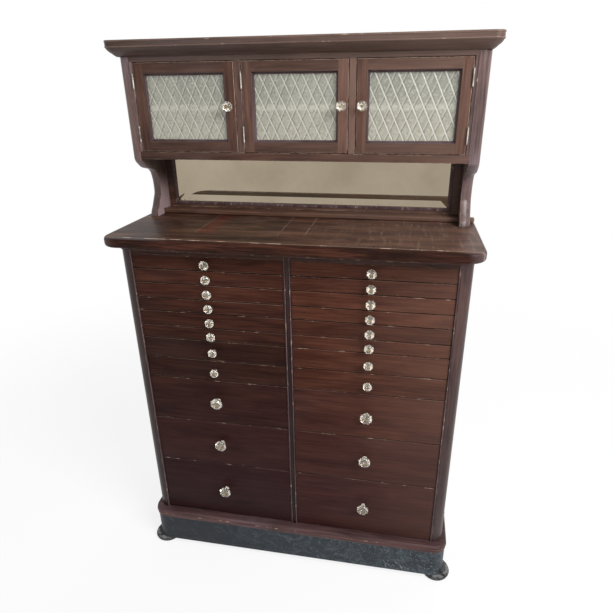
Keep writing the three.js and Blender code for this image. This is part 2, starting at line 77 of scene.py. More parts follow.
# Edges: how far a CAD node's are rounded, and the angles in degrees above which an edge stays sharp
NODE_EDGE = 0.7 * MM
SIDE_EDGE = 0.5 * MM
UPRIGHT_EDGE = 0.9 * MM
FRAME_EDGE = 1.1 * MM
WELD_REACH = 0.01 * MM
FLAT_ANGLE = 0.3
SHARP_ANGLE = 35
PANE_ANGLE = 50
FACET_ANGLE = 12
BEVEL_ANGLE = 1

# Drawers
DRAWER_ROWS = 11
SHALLOW_ROWS = 8
COLUMN_PROUD = 2 * MM
FRONT_THICKNESS = 18 * MM
SIDE_GAP = 2 * MM
FRONT_GAP = 1 * MM
WALL = 12 * MM
END_WALL = 10 * MM
FLOOR = 5 * MM
FOOT_GAP = 3 * MM
HEAD_GAP = 8 * MM
HALF_GAP = 0.5 * MM
GROOVE_DEPTH = 6 * MM
GROOVE_HALF = 4.25 * MM
GROOVE_START = 40 * MM
SEAM_HALF = 0.8 * MM
EDGE = 1.1 * MM
EDGE_STEPS = 3

# Knobs
LARGE_KNOB_RISE = 7 * MM
KNOB_LENGTH_SHARE = 0.86
KNOB_SIDES = 8
KNOB_EDGE = 0.6 * MM
BOLT_SIDES = 24

# Doors, their moulding and their pressed glass
DOOR_THICKNESS = 18 * MM
DOOR_STILE = 26.5 * MM
SIGHT_DEPTH = 10 * MM
REBATE_WALL = 1 * MM
RIB_WIDTH_ACROSS = 29 * MM
RIB_HEIGHT_DOWN = 60 * MM
RIB_SLOPE = RIB_WIDTH_ACROSS / RIB_HEIGHT_DOWN
RIB_HALF = 2.6 * MM
RIB_LIFT = 1.2 * MM
RISING_SHARE = 0.7
PANE_STEP = 1.5 * MM

# Hinges: the barrel is a share of the CAD's, and its ball, neck and leaf are shares of its radius
BARREL_SHARE = 0.62
BARREL_SIDES = 20
BALL_SHARE = 0.55
KNUCKLES = 5
KNUCKLE_NECK = 0.82
KNUCKLE_EDGE = 0.35 * MM
LEAF_FROM = 0.9
LEAF_HALF = 0.5 * MM
LEAF_EDGE = 0.15 * MM

# Mirror, beads and mouldings
BEVEL_WIDTH = 20 * MM
BEVEL_TURN = 1.2 * MM
MIRROR_LIP = 5 * MM
BEAD_WIDTH = 9.1 * MM
BEAD_PROUD = 3 * MM
BEAD_STEPS = 8
POST_BEAD = 1.8 * MM
COLUMN_BEAD_IN = 9 * MM
STILE_HALF = 9 * MM
JAMB = 10 * MM
FASCIA = 17 * MM
CORNICE_CORNER = 25 * MM
BASE_CORNER = 40 * MM
BASE_BEAD_RISE = 13 * MM
CORNER_STEPS = 8

# Sections in millimetres: the mirror's bead inward and back, the mouldings outward and up
MIRROR_BEAD = ((0, 3.4), (0, 1.4), (0.7, 0.4), (2.2, 0), (3.8, 0.3), (4.6, 1.3), (5.3, 0.7), (7.0, 0.9),
               (8.4, 2.0), (8.8, 3.4))
BASE_BEAD = ((-1, 0), (1.0, 0.3), (1.7, 1.8), (1.0, 3.3), (-1, 3.6))
CORNICE_FILLET = ((-2, -1), (0.6, -0.6), (1.5, 0.8), (0.9, 2.4), (-1, 2.6))
CORNICE_CAP = ((-1, -4.4), (0.8, -4.2), (1.2, -2.6), (0.8, -1), (-1, -0.8))

# The same for the moulding round a door's opening: a lip, a cove and a fillet
SIGHT_LIP = ((0.0, 0.0), (0.9, 0.5), (1.3, 1.6))
COVE_SIZE = (3.4, 6.4)
COVE_STEPS = 5
SIGHT_FILLET = ((5.1, 8.4), (6.0, 8.8), (6.0, 10.0))


def tone(red, green, blue):
    """Linear colour of a display colour given from 0 to 255."""
    linear = []
    for value in (red, green, blue):
        share = value / 255
        linear.append(share / 12.92 if value <= 10 else ((share + 0.055) / 1.055) ** 2.4)
    return (*linear, 1.0)


def blend(first, second, share):
    """Colour between two colours."""
    return tuple(a + (b - a) * share for a, b in zip(first, second))


def face_centre(low, high):
    """Middle of a box in width and height."""
    return (low.x + high.x) / 2, (low.z + high.z) / 2


class Paint:
    """Short calls that build the nodes of one material."""

    def __init__(self, name):
        self.material = bpy.data.materials.new(name)
        self.material.use_nodes = True
        self.tree = self.material.node_tree
        self.shader = self.tree.nodes["Principled BSDF"]
        coordinates = self.tree.nodes.new("ShaderNodeTexCoord").outputs
        self.place = coordinates["Object"]
        self.facing = coordinates["Normal"]

    def put(self, socket, value):
        """Links a socket to another one, or sets its value."""
        if isinstance(value, bpy.types.NodeSocket):
            self.tree.links.new(value, socket)
        else:
            socket.default_value = value

    def node(self, kind, inputs, **settings):
        """Adds a node with its settings and inputs."""
        made = self.tree.nodes.new("ShaderNode" + kind)
        for key, value in settings.items():
            setattr(made, key, value)
        for key, value in inputs.items():
            self.put(made.inputs[key], value)
        return made

    def stretched(self, scale, offset=(0, 0, 0)):
        """Place on the object, scaled and moved."""
        return self.node("Mapping", {"Vector": self.place, "Scale": scale, "Location": offset}).outputs[0]

    def noise(self, place, scale, detail=3.0, roughness=0.5, distortion=0.0):
        """Noise at a place."""
        inputs = {"Vector": place, "Scale": scale, "Detail": detail, "Roughness": roughness,
                  "Distortion": distortion}
        return self.node("TexNoise", inputs).outputs[0]

    def sum(self, first, second, operation="ADD", clamp=False):
        """Two values added, or joined by another operation."""
        return self.node("Math", {0: first, 1: second}, operation=operation, use_clamp=clamp).outputs[0]

    def scaled(self, value, share):
        """A value times another."""
        return self.sum(value, share, "MULTIPLY")

    def size(self, value):
        """A value without its sign."""
        return self.sum(value, 0, "ABSOLUTE")

    def distance(self, value, level):
        """How far a value is from a level."""
        return self.size(self.sum(value, level, "SUBTRACT"))

    def band(self, value, low, high):
        """Smooth step from 0 at low to 1 at high."""
        inputs = {"Value": value, "From Min": low, "From Max": high}
        return self.node("MapRange", inputs, interpolation_type="SMOOTHSTEP").outputs[0]

    def ramp(self, value, levels, colours):
        """Colour that passes through the given colours at the given levels."""
        made = self.node("ValToRGB", {"Fac": value})
        elements = made.color_ramp.elements
        while len(elements) < len(levels):
            elements.new(0.5)
        for element, level, colour in zip(elements, levels, colours):
            element.position = level
            element.color = colour
        return made.outputs[0]

    def mix(self, amount, first, second):
        """Colour between two colours."""
        return self.node("Mix", {0: amount, 6: first, 7: second}, data_type="RGBA").outputs[2]

    def parts(self, vector):
        """The x, y and z of a vector."""
        return self.node("SeparateXYZ", {0: vector}).outputs

    def bump(self, height, strength, distance):
        """Relief from a height."""
        inputs = {"Height": height, "Strength": strength, "Distance": distance}
        self.put(self.shader.inputs["Normal"], self.node("Bump", inputs).outputs[0])

    def surface(self, **values):
        """Fills the shader and returns the material."""
        for key, value in values.items():
            socket = key.replace("_", " ").title().replace("Ior", "IOR")
            self.put(self.shader.inputs[socket], value)
        return self.material


ALONG = {"x": Vector((1, 0, 0)), "y": Vector((0, 1, 0)), "z": Vector((0, 0, 1))}
BLACK = (0, 0, 0, 1)
HAZE = tone(96, 84, 84)
# Lilac of the painted sheen that reflected light leaves on the varnish
LILAC_SHEEN = tone(120, 106, 114)
WORN = tone(158, 136, 120)
RIGHT_LIGHT_TONE = tone(138, 112, 100)
BRACKET_LIGHT_TONE = tone(186, 164, 168)
SHADED = tone(34, 23, 25)

# How a seed moves the grain, the grain's tone levels, and where the painted light to the right, the painted
# light and shade on the brackets, the painted shade downward and chips reach
SEED_STEPS = (0.37, 0.53, 0.71)
WOOD_LEVELS = (0.38, 0.5, 0.62)
RIGHT_LIGHT_END = 0.5
BRACKET_TOP = 1.27
BRACKET_FULL = 1.2
LOWER_SHADE_TOP = 1.0
LOWER_SHADE_FULL = 0.1
CHIP_LEVEL = 0.66
CHIP_REACH = 0.3


def grain_scale(grain, squeeze):
    """Texture scale that draws a pattern out along the grain."""
    return tuple(Vector((squeeze,) * 3) + (1 - squeeze) * ALONG[grain])


def wood(name, dark, light, grain, seed=0, haze_and_sheen=0.25, worn=0.0, rough=0.36, bloom_and_sheen=HAZE, gloss=0.1,
         right_light=0.0, right_light_from=-0.4, lower_shade=0.4, bracket_light=0.0):
    """Grained wood under old varnish, paler rightward by painted light and darker downward by painted
    shade.
    """
    paint = Paint(name)
    x, _, height = paint.parts(paint.place)
    offset = tuple(seed * step for step in SEED_STEPS)

    def grained(squeeze, **settings):
        """Noise drawn out along the grain."""
        return paint.noise(paint.stretched(grain_scale(grain, squeeze), offset), **settings)

    fibre = grained(30, scale=6.5, detail=8, roughness=0.72)
    figure = grained(5, scale=5, detail=4, roughness=0.55, distortion=0.8)
    pore = paint.band(grained(26, scale=70, detail=2), 0.6, 0.74)
    patch = grained(1, scale=3.4, detail=4, roughness=0.6)
    value = paint.sum(paint.scaled(fibre, 0.62), paint.scaled(figure, 0.38))
    colour = paint.ramp(value, WOOD_LEVELS, (dark, blend(dark, light, 0.45), light))
    colour = paint.mix(paint.scaled(pore, 0.5), colour, blend(dark, BLACK, 0.5))
    # Paler patches of varnish bloom; in lilac, on the posts, uprights and mouldings, they are also painted
    # sheen
    cover = paint.scaled(paint.band(patch, 0.46, 0.72), haze_and_sheen)
    colour = paint.mix(cover, colour, bloom_and_sheen)
    # Painted light: paler towards the right, where the light falls
    if right_light:
        colour = paint.mix(paint.scaled(paint.band(x, right_light_from, RIGHT_LIGHT_END), right_light), colour, RIGHT_LIGHT_TONE)
    # Painted light and shade on an upright's bracket: paler where it faces right, towards the light, and
    # darker in front
    if bracket_light:
        bracket = paint.scaled(paint.band(height, BRACKET_TOP, BRACKET_FULL), bracket_light)
        sideways, forward, _ = paint.parts(paint.facing)
        colour = paint.mix(paint.scaled(paint.band(sideways, 0.3, 0.8), bracket), colour, BRACKET_LIGHT_TONE)
        colour = paint.mix(paint.scaled(paint.band(forward, -0.15, -0.5), bracket), colour, SHADED)
    # Painted shade: darker towards the floor
    lower_shade_share = paint.scaled(paint.band(height, LOWER_SHADE_TOP, LOWER_SHADE_FULL), lower_shade)
    colour = paint.mix(lower_shade_share, colour, blend(dark, BLACK, 0.3))
    if worn:
        chip = grained(3, scale=38, detail=4, roughness=0.7)
        start = CHIP_LEVEL - CHIP_REACH * worn
        colour = paint.mix(paint.band(chip, start, start + 0.08), colour, WORN)
    roughness = paint.sum(paint.scaled(fibre, 0.16), paint.sum(paint.scaled(cover, 0.5), rough - 0.08))
    paint.bump(paint.sum(fibre, paint.scaled(pore, -0.6)), 0.25, 0.35 * MM)
    return paint.surface(base_color=colour, roughness=roughness, specular_ior_level=gloss)


# The counter's seams, its redder stretch from the first seam to RED_END, and the strip along its front
SEAMS = (-0.270, -0.033, 0.040)
SEAM_BLUR = 2 * MM
SEAM_WIDTH = 1.6 * MM
SEAM_FRONT = -0.11
SEAM_STOP = -0.07
RED_END = -0.205
RED_FADE = 0.03
LIPPING = 22 * MM
LIPPING_BLUR = 1 * MM
LINE_OUTER = 3.6 * MM
LINE_INNER = 2 * MM
NOSE_DROP = (1.4 * MM, 0.5 * MM)
TOP_LEVELS = (0.43, 0.5, 0.57)
NOSE_LEVELS = (0.42, 0.5, 0.58)


def counter_wood(name, worn=0.0):
    """Counter boards, greyed by use, with seams, a redder stretch and a redder rounded edge."""
    paint = Paint(name)
    low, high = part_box("countertop")
    along, across, height = paint.parts(paint.place)
    fibre = paint.noise(paint.stretched((1, 26, 22)), scale=12, detail=8, roughness=0.7)
    figure = paint.noise(paint.stretched((1, 6, 6)), scale=4, detail=3, roughness=0.55, distortion=0.5)
    patch = paint.noise(paint.stretched((1, 1.6, 1), (0.4, 0.1, 0)), scale=6, detail=5, roughness=0.65)
    value = paint.sum(paint.scaled(fibre, 0.6), paint.scaled(figure, 0.4))
    top = paint.ramp(value, TOP_LEVELS, (tone(38, 24, 19), tone(62, 41, 32), tone(98, 70, 54)))
    red = paint.ramp(value, TOP_LEVELS, (tone(60, 22, 15), tone(90, 40, 29), tone(116, 62, 46)))
    side = paint.ramp(value, NOSE_LEVELS, (tone(30, 15, 11), tone(49, 26, 19), tone(75, 44, 33)))
    inward = paint.sum(across, low.y + LIPPING, "SUBTRACT")
    flat = paint.scaled(paint.band(inward, -LIPPING_BLUR, LIPPING_BLUR),
                        paint.band(height, high.z - NOSE_DROP[0], high.z - NOSE_DROP[1]))

    # The top, with its redder stretch, stains, a right end paler by painted light, rubs and seams
    behind = paint.band(across, SEAM_FRONT, SEAM_STOP)
    stretch = paint.scaled(paint.band(along, SEAMS[0], SEAMS[0] + SEAM_BLUR),
                           paint.band(along, RED_END, RED_END - RED_FADE))
    stretch = paint.scaled(paint.scaled(stretch, behind), 0.62)
    rest = paint.scaled(paint.band(along, SEAMS[1], SEAMS[1] + SEAM_BLUR), 0.2)
    colour = paint.mix(paint.sum(stretch, rest, clamp=True), top, red)
    colour = paint.mix(paint.scaled(paint.band(patch, 0.5, 0.7), 0.4), colour, tone(112, 88, 74))
    # Painted light: the top grows paler towards its right end
    colour = paint.mix(paint.scaled(paint.band(along, -0.25, 0.5), 0.26), colour, tone(116, 98, 90))
    rubbed = paint.noise(paint.stretched((13, 1.3, 1), (0.5, 0.2, 0)), scale=8, detail=5, roughness=0.7)
    rubbed = paint.scaled(paint.band(rubbed, 0.52, 0.68), paint.band(along, -0.05, 0.3))
    colour = paint.mix(paint.scaled(rubbed, 0.35), colour, tone(156, 130, 110))
    scratch = paint.noise(paint.stretched((14, 1, 1), (0.2, 0, 0)), scale=30, detail=3, roughness=0.7)
    scratched = paint.band(scratch, 0.4, 0.55)
    for seam in SEAMS:
        line = paint.band(paint.distance(along, seam), SEAM_WIDTH, SEAM_WIDTH / 3)
        line = paint.scaled(paint.scaled(line, scratched), behind)
        colour = paint.mix(paint.scaled(line, 0.7), colour, WORN)

    # The rounded edge with painted sheen at its ends, and the broken pale line along the front strip,
    # partly wear and partly painted highlight
    # Painted sheen: the rounded edge paler and greyer towards each end
    ends = paint.band(paint.size(along), 0.455, 0.5)
    side = paint.mix(paint.scaled(ends, 0.28), side, tone(118, 108, 112))
    colour = paint.mix(flat, side, colour)
    broken = paint.noise(paint.stretched((1, 0.1, 0.1), (0.13, 0, 0)), scale=9, detail=4, roughness=0.7)
    breaks = paint.sum(paint.scaled(paint.band(broken, 0.5, 0.58), 0.7), 0.25)
    arris_wear_and_highlight = paint.scaled(paint.band(paint.size(inward), LINE_OUTER, LINE_INNER), breaks)
    colour = paint.mix(arris_wear_and_highlight, colour, tone(196, 170, 154))
    if worn:
        chip = paint.noise(paint.stretched((1, 4, 4)), scale=26, detail=4, roughness=0.7)
        start = CHIP_LEVEL - CHIP_REACH * worn
        colour = paint.mix(paint.band(chip, start, start + 0.1), colour, WORN)
    paint.bump(fibre, 0.3, 0.3 * MM)
    roughness = paint.sum(paint.scaled(patch, 0.3), 0.26)
    return paint.surface(base_color=colour, roughness=roughness, specular_ior_level=0.08)


# Directions of the scratches on the plinth, and the heights between which they grow to full
SCUFF_ANGLES = (0.62, -0.35, 1.1)
SCUFF_HEIGHT = (62 * MM, 34 * MM)


def plinth_paint(name):
    """Black paint, mottled blue-green, scratched and scuffed towards its right end."""
    paint = Paint(name)
    along, _, height = paint.parts(paint.place)
    cloud = paint.noise(paint.place, scale=26, detail=8, roughness=0.75, distortion=1.8)
    speck = paint.noise(paint.place, scale=190, detail=3, roughness=0.6)
    colour = paint.ramp(cloud, (0.36, 0.5, 0.64), (tone(25, 30, 36), tone(41, 48, 55), tone(71, 80, 86)))
    # Painted shade: darker towards the left end, away from the light on the right
    colour = paint.mix(paint.scaled(paint.band(along, 0.2, -0.45), 0.75), colour, tone(22, 25, 31))
    reach = paint.band(along, -0.1, 0.45)
    dots = paint.scaled(paint.band(speck, 0.6, 0.68), paint.scaled(reach, 0.7))
    colour = paint.mix(dots, colour, tone(132, 142, 138))
    scuffed = paint.scaled(paint.scaled(reach, paint.band(height, *SCUFF_HEIGHT)), 0.85)
    share = paint.sum(scuffed, 0.12)
    for angle in SCUFF_ANGLES:
        inputs = {"Vector": paint.place, "Rotation": (0, angle, 0), "Scale": (1, 1, 0.05)}
        turned = paint.node("Mapping", inputs, vector_type="TEXTURE").outputs[0]
        line = paint.band(paint.noise(turned, scale=11, detail=4, roughness=0.7), 0.655, 0.69)
        colour = paint.mix(paint.scaled(line, share), colour, tone(186, 192, 190))
    paint.bump(paint.sum(cloud, paint.scaled(speck, 0.5)), 0.45, 0.6 * MM)
    roughness = paint.sum(paint.scaled(cloud, 0.3), 0.32)
    return paint.surface(base_color=colour, roughness=roughness, specular_ior_level=0.25)


# The rubbed ring round a foot: half its height, and half of its solid core
RING_HALF = 2.2 * MM
RING_CORE = 1 * MM


def foot_paint(name):
    """Dark painted foot, rubbed pale round its upper edge."""
    paint = Paint(name)
    cloud = paint.noise(paint.place, scale=60, detail=5, roughness=0.7)
    colour = paint.ramp(cloud, (0.4, 0.6), (tone(38, 36, 36), tone(84, 82, 82)))
    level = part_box("foot_front_right")[1].z - RING_HALF
    from_ring = paint.distance(paint.parts(paint.place)[2], level)
    ring = paint.scaled(paint.band(from_ring, RING_HALF, RING_CORE), paint.band(cloud, 0.42, 0.52))
    colour = paint.mix(paint.scaled(ring, 0.45), colour, tone(156, 160, 160))
    paint.bump(cloud, 0.4, 0.5 * MM)
    roughness = paint.sum(paint.scaled(cloud, 0.3), 0.42)
    return paint.surface(base_color=colour, roughness=roughness, specular_ior_level=0.2)


# How strong the painted highlight on the rising ribs is on each pane, stronger to the right, and how far
# the painted glow of the shelf behind it reaches
RIB_STRENGTH = {"left": 0.5, "centre": 0.6, "right": 0.72}
SHELF_GLOW = (12 * MM, 3 * MM)


def pane_glass(hand):
    """Pale pressed glass with a fine stipple, each rib with a painted highlight along its crest and painted
    shade on one flank.
    """
    paint = Paint(f"pressed_glass_{hand}")
    stipple = paint.noise(paint.place, scale=420, detail=2)
    crinkle = paint.noise(paint.place, scale=150, detail=4, roughness=0.65)
    cloud = paint.noise(paint.place, scale=14)
    x, _, height = paint.parts(paint.place)
    low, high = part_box(f"glass_{hand}")
    centre, middle = face_centre(low, high)
    # Painted shade: the glass darker towards its top
    rise = paint.band(height, high.z, low.z)
    colour = paint.mix(rise, tone(158, 158, 146), tone(190, 187, 170))
    colour = paint.mix(paint.scaled(paint.band(cloud, 0.4, 0.7), 0.25), colour, tone(206, 204, 190))
    # Painted light: a pale band where the shelf behind the glass catches the light
    shelf = paint.scaled(paint.band(paint.distance(height, middle), *SHELF_GLOW), 0.4)
    colour = paint.mix(shelf, colour, tone(230, 228, 212))
    colour = paint.mix(paint.scaled(paint.band(crinkle, 0.53, 0.66), 0.45), colour, tone(118, 118, 108))
    colour = paint.mix(paint.scaled(paint.band(crinkle, 0.47, 0.36), 0.45), colour, tone(226, 224, 212))
    across = paint.sum(x, centre, "SUBTRACT")
    slant = paint.scaled(paint.sum(height, middle, "SUBTRACT"), RIB_SLOPE)
    # Painted highlight on each rib's crest and painted shade beside it
    for operation, light, shade in (("SUBTRACT", 0.3, 0.5), ("ADD", RIB_STRENGTH[hand], 0.4)):
        line = paint.sum(across, slant, operation)
        inputs = {0: line, 1: RIB_WIDTH_ACROSS / 2, 2: -RIB_WIDTH_ACROSS / 2}
        off = paint.node("Math", inputs, operation="WRAP").outputs[0]
        beside = paint.distance(off, 1.5 * RIB_HALF)
        flank = paint.scaled(paint.band(beside, 1.2 * RIB_HALF, RIB_HALF / 3), shade)
        colour = paint.mix(flank, colour, tone(112, 112, 104))
        core = paint.scaled(paint.band(paint.size(off), RIB_HALF, RIB_HALF / 3), light)
        colour = paint.mix(core, colour, tone(240, 238, 226))
    paint.bump(paint.sum(stipple, crinkle), 0.6, 0.6 * MM)
    roughness = paint.sum(paint.scaled(cloud, 0.1), 0.22)
    return paint.surface(base_color=colour, roughness=roughness, transmission_weight=0.3)


def knob_glass(name):
    """Clear old glass, slightly clouded."""
    paint = Paint(name)
    cloud = paint.noise(paint.place, scale=160, roughness=0.6)
    colour = paint.ramp(cloud, (0.35, 0.65), (tone(240, 232, 217), tone(253, 247, 235)))
    roughness = paint.scaled(cloud, 0.08)
    return paint.surface(base_color=colour, roughness=roughness, transmission_weight=0.92)


def metal(name, dull, bright, rough):
    """Old plated metal with tarnish."""
    paint = Paint(name)
    cloud = paint.noise(paint.place, scale=60, detail=5, roughness=0.65)
    colour = paint.ramp(cloud, (0.35, 0.6), (dull, bright))
    paint.bump(cloud, 0.15, 0.2 * MM)
    roughness = paint.sum(paint.scaled(cloud, 0.25), rough - 0.1)
    return paint.surface(base_color=colour, roughness=roughness, metallic=1.0)


FOXED_RIM = 14 * MM


def mirror_silver(name):
    """Old silvering, dimmed and foxed towards its upper and lower edges."""
    paint = Paint(name)
    cloud = paint.noise(paint.place, scale=5, detail=4, roughness=0.6)
    fox = paint.noise(paint.place, scale=130, detail=4, roughness=0.7)
    low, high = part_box("mirror")
    height = paint.parts(paint.place)[2]
    edge = paint.sum(paint.band(height, low.z + FOXED_RIM, low.z),
                     paint.band(height, high.z - FOXED_RIM, high.z))
    colour = paint.ramp(cloud, (0.3, 0.7), (tone(153, 141, 122), tone(170, 158, 138)))
    spots = paint.scaled(paint.band(fox, 0.6, 0.72), paint.sum(paint.scaled(edge, 0.6), 0.08))
    colour = paint.mix(spots, colour, tone(60, 50, 44))
    roughness = paint.sum(paint.scaled(spots, 0.4), 0.03)
    return paint.surface(base_color=colour, roughness=roughness, metallic=1.0)


# Dark red-brown mahogany, in the tones of the different pieces
rail_wood = wood("rail_wood", tone(44, 27, 22), tone(82, 54, 45), "x", 1)
rail_edge = wood("rail_edge", tone(60, 40, 34), tone(108, 76, 64), "x", 2, worn=0.35)
frame_wood = wood("frame_wood", tone(54, 35, 28), tone(103, 72, 57), "x", 12, gloss=0.2, right_light=0.25)
frame_edge = wood("frame_edge", tone(66, 44, 38), tone(118, 88, 76), "x", 13, worn=0.6, gloss=0.2)
apron_wood = wood("apron_wood", tone(48, 31, 26), tone(92, 65, 54), "x", 20, right_light=0.2)
# The posts are one finish in two copies: the left darker as painted shade, the right lighter as painted
# light
left_post_wood = wood("left_post_wood", tone(30, 18, 16), tone(62, 44, 39), "z", 3, haze_and_sheen=0.16,
                      bloom_and_sheen=LILAC_SHEEN, gloss=0.25, rough=0.34, lower_shade=0.6)
right_post_wood = wood("right_post_wood", tone(42, 27, 24), tone(84, 60, 56), "z", 21, haze_and_sheen=0.28,
                       bloom_and_sheen=LILAC_SHEEN, gloss=0.3, rough=0.32, lower_shade=0.6)
post_edge = wood("post_edge", tone(64, 44, 42), tone(126, 98, 96), "z", 4, worn=0.5, gloss=0.25)
stile_wood = wood("stile_wood", tone(32, 19, 18), tone(60, 41, 39), "z", 14, haze_and_sheen=0.2)
# The uprights are one finish in two copies: the left one lighter, as painted light on its bracket
left_upright_wood = wood("left_upright_wood", tone(66, 48, 43), tone(132, 104, 96), "z", 18, haze_and_sheen=0.6,
                         bloom_and_sheen=LILAC_SHEEN, gloss=0.35, rough=0.3, bracket_light=0.55)
right_upright_wood = wood("right_upright_wood", tone(54, 40, 37), tone(114, 90, 86), "z", 19, haze_and_sheen=0.55,
                          bloom_and_sheen=LILAC_SHEEN, gloss=0.35, rough=0.3)
mullion_wood = wood("mullion_wood", tone(56, 39, 34), tone(106, 78, 68), "z", 16, haze_and_sheen=0.2, right_light=0.65)
door_stile_wood = wood("door_stile_wood", tone(57, 38, 32), tone(107, 77, 65), "z", 90, haze_and_sheen=0.15,
                       right_light=0.12)
centre_stile_wood = wood("centre_stile_wood", tone(64, 44, 37), tone(121, 89, 77), "z", 93, haze_and_sheen=0.15,
                         right_light=0.2)
door_rail_wood = wood("door_rail_wood", tone(51, 35, 30), tone(94, 69, 59), "x", 91, haze_and_sheen=0.15, right_light=0.24)
door_sight_wood = wood("door_sight_wood", tone(44, 30, 29), tone(84, 62, 62), "z", 92, haze_and_sheen=0.3,
                       bloom_and_sheen=LILAC_SHEEN, gloss=0.4)
door_edge = wood("door_edge", tone(66, 46, 40), tone(120, 90, 78), "z", 17, worn=0.75)
bead_wood = wood("bead_wood", tone(54, 37, 37), tone(108, 84, 86), "z", 15, haze_and_sheen=0.4, bloom_and_sheen=LILAC_SHEEN,
                 worn=0.3, gloss=0.3)
cornice_wood = wood("cornice_wood", tone(54, 41, 36), tone(92, 72, 65), "x", 5, haze_and_sheen=0.3, gloss=0.2,
                    right_light=0.27)
cornice_edge = wood("cornice_edge", tone(74, 58, 50), tone(122, 98, 88), "x", 6, worn=0.2, gloss=0.25,
                    right_light=0.3)
base_wood = wood("base_wood", tone(54, 37, 37), tone(102, 76, 76), "x", 7, haze_and_sheen=0.4, bloom_and_sheen=LILAC_SHEEN,
                 gloss=0.15, lower_shade=0.15)
base_edge = wood("base_edge", tone(66, 42, 38), tone(122, 84, 78), "x", 8, worn=0.3, gloss=0.15,
                 lower_shade=0.15)
back_wood = wood("back_wood", tone(58, 36, 26), tone(104, 72, 52), "z", 9, haze_and_sheen=0.3, rough=0.6)
inner_wood = wood("inner_wood", tone(112, 80, 54), tone(160, 122, 86), "y", 10, haze_and_sheen=0.2, rough=0.55)
counter = counter_wood("counter")
counter_edge = counter_wood("counter_edge", worn=0.3)

# Paint, glass and metal
foot_black = foot_paint("foot_black")
plinth_black = plinth_paint("plinth_black")
pressed = {hand: pane_glass(hand) for hand in HANDS}
clear_glass = knob_glass("knob_glass")
nickel = metal("nickel", tone(120, 116, 106), tone(206, 202, 192), 0.32)
gilt = metal("gilt", tone(92, 70, 44), tone(188, 156, 108), 0.35)
bronze = metal("bronze", tone(40, 32, 26), tone(84, 70, 56), 0.45)
silvered = mirror_silver("mirror")


def dress(name, surface, edge, width=NODE_EDGE):
    """Gives a CAD node its finish, with its sharp edges softened and worn."""
    piece = nodes[name]
    piece.data.materials.clear()
    piece.data.materials.append(surface)
    piece.data.materials.append(edge)
    for attribute in [a for a in piece.data.attributes if a.name == "custom_normal"]:
        piece.data.attributes.remove(attribute)
    piece.data.shade_smooth()
    weld = piece.modifiers.new("weld", "WELD")
    weld.merge_threshold = WELD_REACH
    flat = piece.modifiers.new("flat", "DECIMATE")
    flat.decimate_type = "DISSOLVE"
    flat.angle_limit = math.radians(FLAT_ANGLE)
    soft = piece.modifiers.new("soft", "BEVEL")
    soft.width = width
    soft.segments = 2
    soft.limit_method = "ANGLE"
    soft.angle_limit = math.radians(SHARP_ANGLE)
    soft.material = 1
    even = piece.modifiers.new("even", "WEIGHTED_NORMAL")
    even.keep_sharp = True


for name in ("top_rail", "case_top", "shelf"):
    dress(name, rail_wood, rail_edge)
for name in ("mullion_left", "mullion_right"):
    dress(name, mullion_wood, post_edge)
for name in ("case_back", "upper_back"):
    dress(name, back_wood, back_wood)
for end in ("front", "back"):
    for hand in SIDES:
        dress(f"foot_{end}_{hand}", foot_black, foot_black)
dress("left_side", left_post_wood, post_edge, SIDE_EDGE)
dress("right_side", right_post_wood, post_edge, SIDE_EDGE)
dress("left_upright", left_upright_wood, post_edge, UPRIGHT_EDGE)
dress("right_upright", right_upright_wood, post_edge, UPRIGHT_EDGE)
dress("mirror_frame", frame_wood, frame_edge, FRAME_EDGE)
dress("upper_bottom", apron_wood, frame_edge)
dress("centre_partition", stile_wood, stile_wood)
dress("cornice", cornice_wood, cornice_edge)
dress("case_bottom", base_wood, base_edge)
dress("countertop", counter, counter_edge)
dress("plinth", plinth_black, plinth_black)


def piece_of(name, shape, materials, body, smooth=SHARP_ANGLE):
    """A finished piece from a bmesh, riding on a body."""
    bmesh.ops.recalc_face_normals(shape, faces=shape.faces)
    mesh = bpy.data.meshes.new(name)
    shape.to_mesh(mesh)
    shape.free()
    for material in materials:
        mesh.materials.append(material)
    mesh.shade_smooth()
    mesh.set_sharp_from_angle(angle=math.radians(smooth))
    piece = bpy.data.objects.new(name, mesh)
    scene.collection.objects.link(piece)
    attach(piece, body)
    return piece


def in_metres(pairs):
    """Pairs of millimetres as pairs of metres."""
    return [(u * MM, v * MM) for u, v in pairs]


def add_box(shape, low, high):
    """Adds a closed box between two corners and returns its edges."""
    corners = [shape.verts.new((x, y, z)) for x in (low[0], high[0]) for y in (low[1], high[1])
               for z in (low[2], high[2])]
    quads = ((0, 1, 3, 2), (4, 6, 7, 5), (0, 4, 5, 1), (2, 3, 7, 6), (0, 2, 6, 4), (1, 5, 7, 3))
    faces = [shape.faces.new([corners[i] for i in quad]) for quad in quads]
    return list({edge for face in faces for edge in face.edges})


def soften(shape, edges, width, material=0, segments=2):
    """Rounds edges, and gives the rounded strip a material of its own."""
    bmesh.ops.bevel(shape, geom=edges, offset=width, segments=segments, profile=0.5,
                    affect="EDGES", clamp_overlap=True, material=material)


def join_rings(shape, first, second):
    """Adds the faces between two closed rings with the same number of points."""
    count = len(first)
    for i in range(count):
        j = (i + 1) % count
        shape.faces.new((first[i], first[j], second[j], second[i]))


def add_prism(shape, outline, start, end, place):
    """Adds a closed prism: an outline of pairs, run from start to end, put in space by place."""
    rings = [[shape.verts.new(place(u, v, along)) for u, v in outline] for along in (start, end)]
    join_rings(shape, rings[0], rings[1])
    shape.faces.new(rings[0][::-1])
    shape.faces.new(rings[1])


